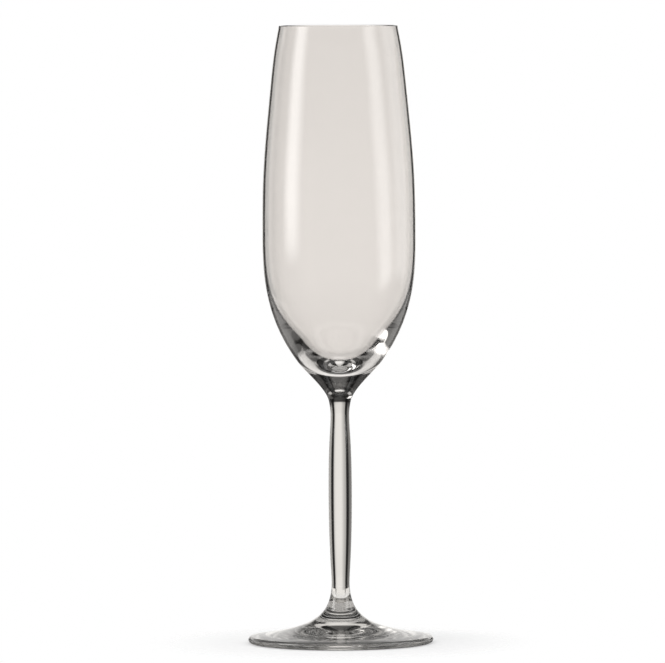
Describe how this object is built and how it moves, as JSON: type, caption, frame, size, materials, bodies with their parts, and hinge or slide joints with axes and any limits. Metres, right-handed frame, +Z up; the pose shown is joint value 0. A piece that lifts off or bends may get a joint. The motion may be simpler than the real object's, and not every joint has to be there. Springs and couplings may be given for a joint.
{
  "type": "champagne flute",
  "caption": "Tall stemmed glass flute: long tapering bowl with a thick drawn base, slim swelling stem and a broad round foot.",
  "frame": {"origin": "middle of the foot, on the plane that the glass stands on", "axes": "+Z up along the axis of the stem, through the middle of the rim; the glass is turned about Z, so X and Y are alike"},
  "size_m": [0.0754, 0.0754, 0.252],
  "materials": {
    "bowl_glass": "clear, thin, fire polished rim",
    "stem_glass": "clear, solid, drawn",
    "foot_glass": "clear, solid, pressed and fire polished"
  },
  "bodies": {
    "root": {"bowl": "bowl_glass", "stem": "stem_glass", "foot": "foot_glass"}
  },
  "joints": []
}
